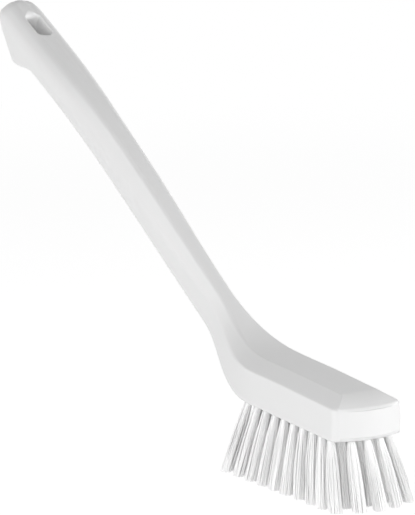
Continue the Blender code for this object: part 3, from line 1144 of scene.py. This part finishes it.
@dataclass(frozen=True)
class BristleField:
    """Rows and columns of tufts in the block's underside."""

    stance: Stance = field(default_factory=Stance)
    rows: int = 5
    columns: int = 10
    half_width: float = 0.0195
    side_margin: float = 0.0035
    front_margin: float = 0.0137
    last_column: float = 0.0956
    front_bow: float = 0.0079
    bow_growth: float = 1.5
    heel_splay: float = 0.0128
    nose_splay: float = 0.0138
    side_splay: float = 0.0055

    hole_radius: float = 0.00215
    hole_depth: float = 0.0113
    hole_mouth: float = 0.0003
    overrun: float = 0.0010
    hole_sides: int = 24

    def places(self) -> Iterator[tuple[int, int]]:
        """Every row and column, row by row from the near side and each from the heel."""
        return ((row, column) for row in range(self.rows) for column in range(self.columns))

    def shares(self, row: int, column: int) -> tuple[float, float]:
        """Place of a tuft across the field, from -1 to 1, and along it, from 0 to 1."""
        return row / (self.rows - 1) * 2.0 - 1.0, column / (self.columns - 1)

    def root(self, row: int, column: int) -> Vector:
        """Find the middle of a tuft's hole mouth.

        Args:
            row: Row from the near side, from 0.
            column: Column from the heel, from 0.

        Returns:
            That point, on the block's underside.
        """
        across, along = self.shares(row, column)
        back = mix(self.last_column, self.front_margin, along)
        bow = self.front_bow * along ** self.bow_growth * (1.0 - across ** 2)
        return Vector((bow - back, across * (self.half_width - self.side_margin), 0.0))

    def tip(self, row: int, column: int) -> Vector:
        """Find the middle of a tuft's tip, splayed towards the heel, the nose and the sides.

        Args:
            row: Row from the near side, from 0.
            column: Column from the heel, from 0.

        Returns:
            That point, on the trimmed plane.
        """
        across, along = self.shares(row, column)
        root = self.root(row, column)
        x = root.x + mix(-self.heel_splay, self.nose_splay, along)
        return Vector((x, root.y + self.side_splay * across, self.stance.trim_at(x)))

    def axes(self, row: int, column: int) -> Matrix:
        """Find the axes of a tuft.

        Args:
            row: Row from the near side, from 0.
            column: Column from the heel, from 0.

        Returns:
            Matrix with its origin at the hole's mouth and its Z up into the block.
        """
        root = self.root(row, column)
        up = (root - self.tip(row, column)).normalized()
        across = Vector((0.0, 1.0, 0.0))
        across = (across - up * across.dot(up)).normalized()
        forward = across.cross(up)
        turned = Matrix((forward, across, up)).transposed().to_4x4()
        return Matrix.Translation(root) @ turned

    def holes_mesh(self) -> bpy.types.Mesh:
        """Every blind tuft hole, with a slightly broken mouth, as one set of cutting forms.

        Returns:
            Mesh of all the forms.
        """
        bm = bmesh.new()
        widest = self.hole_radius + self.hole_mouth + self.overrun
        rings = (
            (widest, -self.overrun),
            (self.hole_radius, self.hole_mouth),
            (self.hole_radius, self.hole_depth),
        )
        for row, column in self.places():
            place = self.axes(row, column)
            loops = []
            for radius, height in rings:
                loop = []
                for index in range(self.hole_sides):
                    turn = math.tau * index / self.hole_sides
                    local = Vector((radius * math.cos(turn), radius * math.sin(turn), height))
                    loop.append(bm.verts.new(place @ local))
                loops.append(loop)
            close_form(bm, loops)
        return mesh_from(bm, "tuft_holes")


@dataclass(frozen=True)
class WireAnchor:
    """Flat wire that pins the fold of a tuft and bites into the wall of its hole."""

    length: float = 0.0050
    thickness: float = 0.0005
    height: float = 0.0018
    top: float = 0.0100
    corner: float = 0.0002
    corner_steps: int = 2
    sharp_angle: float = math.radians(40.0)

    def add_to(self, bm: bmesh.types.BMesh, place: Matrix) -> None:
        """Add one anchor to a working mesh.

        Args:
            bm: Working mesh.
            place: Axes of the tuft it pins.
        """
        middle = self.top - self.height / 2.0
        size = Vector((self.thickness, self.length, self.height))
        form = Matrix.LocRotScale((0.0, 0.0, middle), None, size)
        made = bmesh.ops.create_cube(bm, size=1.0, matrix=place @ form)
        edges = list({edge for vert in made["verts"] for edge in vert.link_edges})
        bmesh.ops.bevel(
            bm, geom=edges, offset=self.corner / 2.0, segments=self.corner_steps,
            profile=0.5, affect="EDGES",
        )


@dataclass(frozen=True)
class Tuft:
    """Bundle of filaments, each folded over the anchor so that both its ends are bristles."""

    place: Matrix
    tip: Vector
    name: str
    seed: int
    anchor: WireAnchor = field(default_factory=WireAnchor)

    filament: float = 0.00048
    pitch: float = 0.00032
    root_radius: float = 0.0021
    tip_spread: float = 1.80
    swell: float = 0.20
    fold_rise: float = 0.0009
    fold_floor: float = 0.45
    fold_steps: int = 4
    leg_steps: int = 6
    sides: int = 5

    tip_wander: float = 0.0003
    tip_scatter: float = 0.00045
    bow_scatter: float = 0.00020
    stray_share: float = 0.06
    stray_scatter: float = 0.0011
    shortfall: float = 0.0009
    trim_slack: float = 0.0001
    darkest: float = 0.97
    sharp_angle: float = math.radians(80.0)

    def fold_places(self) -> list[tuple[float, float]]:
        """Pack the filaments' legs on one side of the anchor into a half disc.

        Returns:
            Place of each leg along the brush and across it, in the hole's own axes.
        """
        places = []
        first = (self.anchor.thickness + self.filament) / 2.0
        # Lanes packed like a honeycomb: every second one starts half a pitch aside.
        lane_step = self.pitch * math.sin(HEXAGON_TURN)
        lanes = int((self.root_radius - first) / lane_step) + 1
        reach = self.root_radius - self.filament / 2.0
        for lane in range(lanes):
            u = first + lane * lane_step
            start = self.pitch / 2.0 * (lane % 2)
            count = int(self.root_radius / self.pitch) + 1
            for step in range(-count, count + 1):
                v = start + step * self.pitch
                if math.hypot(u, v) <= reach:
                    places.append((u, v))
        return places

    def held_inside(self, x: float, y: float) -> Vector:
        """Hold a point of the trimmed plane inside the CAD model's box.

        Args:
            x: Its place along the brush.
            y: Its place across the brush.

        Returns:
            The point, moved in where it would leave the box.
        """
        half = self.filament / 2.0
        low, high = CAD_BOX
        x = min(max(x, low.x + half), high.x - half)
        y = min(max(y, low.y + half), high.y - half)
        return Vector((x, y, 0.0))

    def leg(self, draw: random.Random, u: float, v: float, wander: Vector) -> list[Vector]:
        """Path of one leg from the hole's mouth to its tip.

        Args:
            draw: Seeded source of the small differences between filaments.
            u: Place in the hole along the brush.
            v: Place in the hole across the brush.
            wander: How far this tuft's whole tip strays.

        Returns:
            Points of the leg.
        """
        start = self.place @ Vector((u, v, 0.0))
        aside = self.place.to_3x3() @ Vector((u, v, 0.0)) * self.tip_spread
        scatter = self.stray_scatter if draw.random() < self.stray_share else self.tip_scatter
        x = self.tip.x + aside.x + wander.x + draw.gauss(0.0, scatter)
        y = self.tip.y + aside.y + wander.y + draw.gauss(0.0, scatter)
        end = self.held_inside(x, y)
        short = self.trim_slack + self.shortfall * draw.random() ** 2
        end += (start - end).normalized() * short
        bow = scattered(draw, self.bow_scatter) + aside * self.swell
        points = []
        for step in range(self.leg_steps + 1):
            share = step / self.leg_steps
            points.append(start.lerp(end, share) + bow * math.sin(math.pi * share))
        return points

    def path(self, draw: random.Random, u: float, v: float, wander: Vector) -> list[Vector]:
        """Path of a whole filament from tip to tip, over the anchor.

        Args:
            draw: Seeded source of the small differences between filaments.
            u: Distance of its legs from the anchor's middle plane.
            v: Place along the anchor.
            wander: How far this tuft's whole tip strays.

        Returns:
            Points of the filament.
        """
        rise = self.fold_rise * mix(self.fold_floor, 1.0, u / self.root_radius)
        fold = []
        for step in range(self.fold_steps + 1):
            turn = math.pi * step / self.fold_steps
            height = self.anchor.top + rise * math.sin(turn)
            fold.append(self.place @ Vector((u * math.cos(turn), v, height)))
        down = self.leg(draw, u, v, wander)[::-1]
        return down + fold + self.leg(draw, -u, v, wander)

    def build(self, material: bpy.types.Material) -> bpy.types.Object:
        """Build the tuft's filaments as round strands with their own tones.

        Args:
            material: Filament material.

        Returns:
            The tuft's object.
        """
        draw = random.Random(self.seed)
        wander = scattered(draw, self.tip_wander)
        points: list[Vector] = []
        faces: list[list[int]] = []
        tones: list[float] = []
        for u, v in self.fold_places():
            path = self.path(draw, u, v, wander)
            tone = mix(self.darkest, 1.0, draw.random())
            tones += [tone] * (len(path) * self.sides)
            self.sweep(path, points, faces)
        mesh = bpy.data.meshes.new(f"strands_{self.name}")
        mesh.from_pydata(points, [], faces)
        shades = mesh.attributes.new(STRAND_TONE, "FLOAT_COLOR", "POINT")
        colours = [value for tone in tones for value in (tone, tone, tone, 1.0)]
        shades.data.foreach_set("color", colours)
        mesh.shade_smooth()
        mesh.set_sharp_from_angle(angle=self.sharp_angle)
        mesh.materials.append(material)
        return add_object(mesh.name, mesh)

    def sweep(self, path: list[Vector], points: list[Vector], faces: list[list[int]]) -> None:
        """Sweep a round strand along a path and add it to the tuft's lists.

        Args:
            path: Points of the filament.
            points: Vertices so far, which grow.
            faces: Faces so far, which grow.
        """
        first = len(points)
        sides = self.sides
        radius = self.filament / 2.0
        across = self.place.to_3x3() @ Vector((0.0, 1.0, 0.0))
        for index, point in enumerate(path):
            behind, ahead = path[max(index - 1, 0)], path[min(index + 1, len(path) - 1)]
            along = (ahead - behind).normalized()
            side = (across - along * across.dot(along)).normalized()
            front = along.cross(side)
            for corner in range(sides):
                turn = math.tau * corner / sides
                points.append(point + (side * math.cos(turn) + front * math.sin(turn)) * radius)
        for ring in range(len(path) - 1):
            low = first + ring * sides
            high = low + sides
            for corner in range(sides):
                after = (corner + 1) % sides
                faces.append([low + corner, low + after, high + after, high + corner])
        last = first + (len(path) - 1) * sides
        faces.append([first + corner for corner in range(sides)][::-1])
        faces.append([last + corner for corner in range(sides)])


@dataclass
class Bristles:
    """All the tufts and the anchors that hold them."""

    field_: BristleField = field(default_factory=BristleField)
    anchor: WireAnchor = field(default_factory=WireAnchor)
    strand_finish: PolyesterFilament = field(default_factory=PolyesterFilament)
    wire_finish: RolledWire = field(default_factory=RolledWire)
    seed: int = 4100

    def build_tufts(self, groups: SharedGroups, stand: Matrix) -> dict[str, bpy.types.Object]:
        """Build every tuft.

        Args:
            groups: The shared node groups.
            stand: Matrix that stands the brush in the row frame.

        Returns:
            The tufts by the name of the CAD node that each stands for.
        """
        material = self.strand_finish.material(groups)
        tufts = {}
        for row, column in self.field_.places():
            tuft = Tuft(
                place=stand @ self.field_.axes(row, column),
                tip=stand @ self.field_.tip(row, column),
                name=f"r{row + 1}_c{column + 1:02d}",
                seed=self.seed + row * self.field_.columns + column,
                anchor=self.anchor,
            )
            tufts[f"tuft_{tuft.name}"] = tuft.build(material)
        return tufts

    def build_anchors(self, groups: SharedGroups, stand: Matrix) -> list[bpy.types.Object]:
        """Build the anchors of each row as one piece.

        Args:
            groups: The shared node groups.
            stand: Matrix that stands the brush in the row frame.

        Returns:
            One object a row.
        """
        material = self.wire_finish.material(groups)
        rows = []
        for row in range(self.field_.rows):
            bm = bmesh.new()
            for column in range(self.field_.columns):
                self.anchor.add_to(bm, stand @ self.field_.axes(row, column))
            mesh = mesh_from(bm, f"anchors_r{row + 1}")
            mesh.shade_smooth()
            mesh.set_sharp_from_angle(angle=self.anchor.sharp_angle)
            mesh.materials.append(material)
            rows.append(add_object(mesh.name, mesh))
        return rows


@dataclass(frozen=True)
class Lamp:
    """Soft box that faces the brush."""

    name: str
    azimuth: float
    elevation: float
    distance: float
    width: float
    height: float
    power: float

    def build(self, aim: Vector) -> bpy.types.Object:
        """Hang the lamp and turn it to the brush.

        Args:
            aim: Point that it faces.

        Returns:
            The lamp's object.
        """
        turn, lift = math.radians(self.azimuth), math.radians(self.elevation)
        level = math.cos(lift)
        away = Vector((math.cos(turn) * level, math.sin(turn) * level, math.sin(lift)))
        data = bpy.data.lights.new(self.name, "AREA")
        data.shape = "RECTANGLE"
        data.size = self.width
        data.size_y = self.height
        data.energy = self.power
        lamp = add_object(self.name, data)
        lamp.location = aim + away * self.distance
        lamp.rotation_euler = away.to_track_quat("Z", "Y").to_euler()
        lamp.visible_camera = False
        return lamp


@dataclass(frozen=True)
class View:
    """Camera at the photograph's viewing angle."""

    aim: Point = (0.01452, 0.0, 0.09939)
    azimuth: float = 60.53
    elevation: float = 12.33
    roll: float = -1.22
    distance: float = 4.698
    pixels_per_metre: float = 1948.6
    sensor: float = 36.0
    nearest_share: float = 0.1
    farthest_share: float = 20.0

    def build(self) -> bpy.types.Object:
        """Make the camera and set it as the scene's.

        Returns:
            The camera's object.
        """
        turn = Matrix.Rotation(math.radians(self.azimuth), 4, "Z")
        lift = Matrix.Rotation(QUARTER_TURN - math.radians(self.elevation), 4, "X")
        roll = Matrix.Rotation(math.radians(self.roll), 4, "Z")
        facing = turn @ lift @ roll
        data = bpy.data.cameras.new("camera")
        data.sensor_fit = "VERTICAL"
        data.sensor_width = self.sensor
        data.sensor_height = self.sensor
        data.lens = self.sensor * self.pixels_per_metre * self.distance / PHOTO_HEIGHT_PX
        data.clip_start = self.distance * self.nearest_share
        data.clip_end = self.distance * self.farthest_share
        camera = add_object("camera", data)
        back = facing.to_3x3() @ Vector((0.0, 0.0, 1.0))
        camera.matrix_world = Matrix.Translation(Vector(self.aim) + back * self.distance) @ facing
        bpy.context.scene.camera = camera
        return camera


@dataclass(frozen=True)
class Studio:
    """Floor, backdrop, lamps and world."""

    view: View = field(default_factory=View)
    floor_size: float = 60.0
    floor_colour: Colour = (0.86, 0.86, 0.86, 1.0)
    shadow_share: float = 0.45
    shadow_reach: float = 0.55
    shadow_fade: float = 0.35
    table_light: float = 0.32
    seen_light: float = 0.62
    ambient: float = 0.20
    # Each lamp: name, azimuth and elevation in degrees, distance, width, height, power in watts.
    lamps: tuple[Lamp, ...] = (
        Lamp("heel_box", -110.0, 10.0, 1.6, 0.7, 0.5, 2.8),
        Lamp("near_side_box", -80.0, 10.0, 1.6, 0.7, 0.5, 2.8),
        Lamp("near_corner_box", -48.0, 10.0, 1.6, 0.7, 0.5, 2.7),
        Lamp("front_box", -30.0, 8.0, 1.6, 0.5, 0.4, 4.8),
        Lamp("nose_box", 25.0, 10.0, 1.6, 0.7, 0.5, 1.9),
        Lamp("far_nose_box", 50.0, 10.0, 1.6, 0.7, 0.5, 8.8),
        Lamp("far_box", 75.0, 10.0, 1.6, 0.7, 0.5, 4.0),
        Lamp("high_near_box", -110.0, 38.0, 1.5, 0.8, 0.6, 3.5),
        Lamp("high_front_box", -20.0, 38.0, 1.5, 0.8, 0.6, 3.1),
    )

    def seen_white(self, nodes: NodeTree) -> Socket:
        """Mask that is 1 for the rays that see the backdrop as white.

        Args:
            nodes: Nodes of the material or world.

        Returns:
            Socket with the mask.
        """
        path = nodes.add("ShaderNodeLightPath")
        mask = path.outputs[Ray.CAMERA.value]
        for ray in (Ray.GLOSSY, Ray.TRANSMISSION):
            mask = nodes.math("MAXIMUM", mask, path.outputs[ray.value])
        return mask

    def floor_material(self) -> bpy.types.Material:
        """Make the floor: white paper that keeps a soft shadow near the brush.

        Returns:
            The floor's material, which is clear from below.
        """
        material = bpy.data.materials.new("paper_floor")
        material.use_nodes = True
        nodes = NodeTree(material.node_tree)
        nodes.tree.nodes.clear()
        mask = self.seen_white(nodes)
        paper = nodes.add("ShaderNodeBsdfDiffuse")
        paper.inputs["Color"].default_value = self.floor_colour
        table = nodes.add("ShaderNodeEmission")
        strength = nodes.map_range(mask, (0.0, 1.0), (self.table_light, self.seen_light))
        nodes.link(strength, table.inputs["Strength"])
        backlit = nodes.add("ShaderNodeAddShader")
        nodes.link(paper.outputs["BSDF"], backlit.inputs[0])
        nodes.link(table.outputs["Emission"], backlit.inputs[1])
        glow = nodes.add("ShaderNodeEmission")
        place = nodes.add("ShaderNodeTexCoord")
        length = nodes.add("ShaderNodeVectorMath", operation="LENGTH")
        nodes.link(place.outputs["Object"], length.inputs[0])
        fade = nodes.map_range(
            length.outputs["Value"], (self.shadow_reach, self.shadow_reach + self.shadow_fade),
            (1.0 - self.shadow_share, 1.0), "SMOOTHSTEP",
        )
        lit = nodes.mix_shaders(
            nodes.math("MULTIPLY", mask, fade), backlit.outputs["Shader"],
            glow.outputs["Emission"],
        )
        side = nodes.add("ShaderNodeNewGeometry")
        clear = nodes.add("ShaderNodeBsdfTransparent")
        both = nodes.mix_shaders(side.outputs["Backfacing"], lit, clear.outputs["BSDF"])
        output = nodes.add("ShaderNodeOutputMaterial")
        nodes.link(both, output.inputs["Surface"])
        return material

    def build_floor(self) -> bpy.types.Object:
        """Lay the floor under the bristle tips.

        Returns:
            The floor's object.
        """
        bm = bmesh.new()
        bmesh.ops.create_grid(bm, x_segments=1, y_segments=1, size=self.floor_size / 2.0)
        mesh = bpy.data.meshes.new("floor")
        bm.to_mesh(mesh)
        bm.free()
        mesh.materials.append(self.floor_material())
        floor = add_object("floor", mesh)
        return floor

    def build_world(self) -> None:
        """Light the room evenly and softly, with a white backdrop."""
        world = bpy.data.worlds.new("white_room")
        bpy.context.scene.world = world
        world.use_nodes = True
        nodes = NodeTree(world.node_tree)
        nodes.tree.nodes.clear()
        room = nodes.add("ShaderNodeBackground")
        room.inputs["Strength"].default_value = self.ambient
        backdrop = nodes.add("ShaderNodeBackground")
        backdrop.inputs["Color"].default_value = WHITE
        both = nodes.mix_shaders(
            self.seen_white(nodes), room.outputs["Background"], backdrop.outputs["Background"]
        )
        output = nodes.add("ShaderNodeOutputWorld")
        nodes.link(both, output.inputs["Surface"])

    def build(self) -> None:
        """Set up the whole studio."""
        self.build_floor()
        self.build_world()
        for lamp in self.lamps:
            lamp.build(Vector(self.view.aim))
        self.view.build()
        bpy.context.scene.view_settings.view_transform = "Standard"


def keep(piece: bpy.types.Object, nodes: Iterable[str]) -> None:
    """Fix a finished piece to the frame and report it.

    Args:
        piece: The piece, in place.
        nodes: CAD nodes that it stands for.
    """
    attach(piece, BODY)
    names = list(nodes)
    if names:
        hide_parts(*names)
    faces = len(piece.data.polygons)
    LOG.info("%s: %d faces, stands for %s", piece.name, faces, names or "no CAD node")


def main() -> None:
    """Build the brush and the studio around it."""
    logging.basicConfig(level=logging.INFO, format="%(name)s: %(message)s")
    groups = SharedGroups.build()
    bristles = Bristles()
    body = Moulding().build(bristles.field_, groups)
    stand = bristles.field_.stance.matrix(body)
    body.data.transform(stand)
    keep(body, [BODY_NODE])
    for node, tuft in bristles.build_tufts(groups, stand).items():
        keep(tuft, [node])
    for anchors in bristles.build_anchors(groups, stand):
        keep(anchors, [])
    Studio().build()


if __name__ == "__main__":
    main()
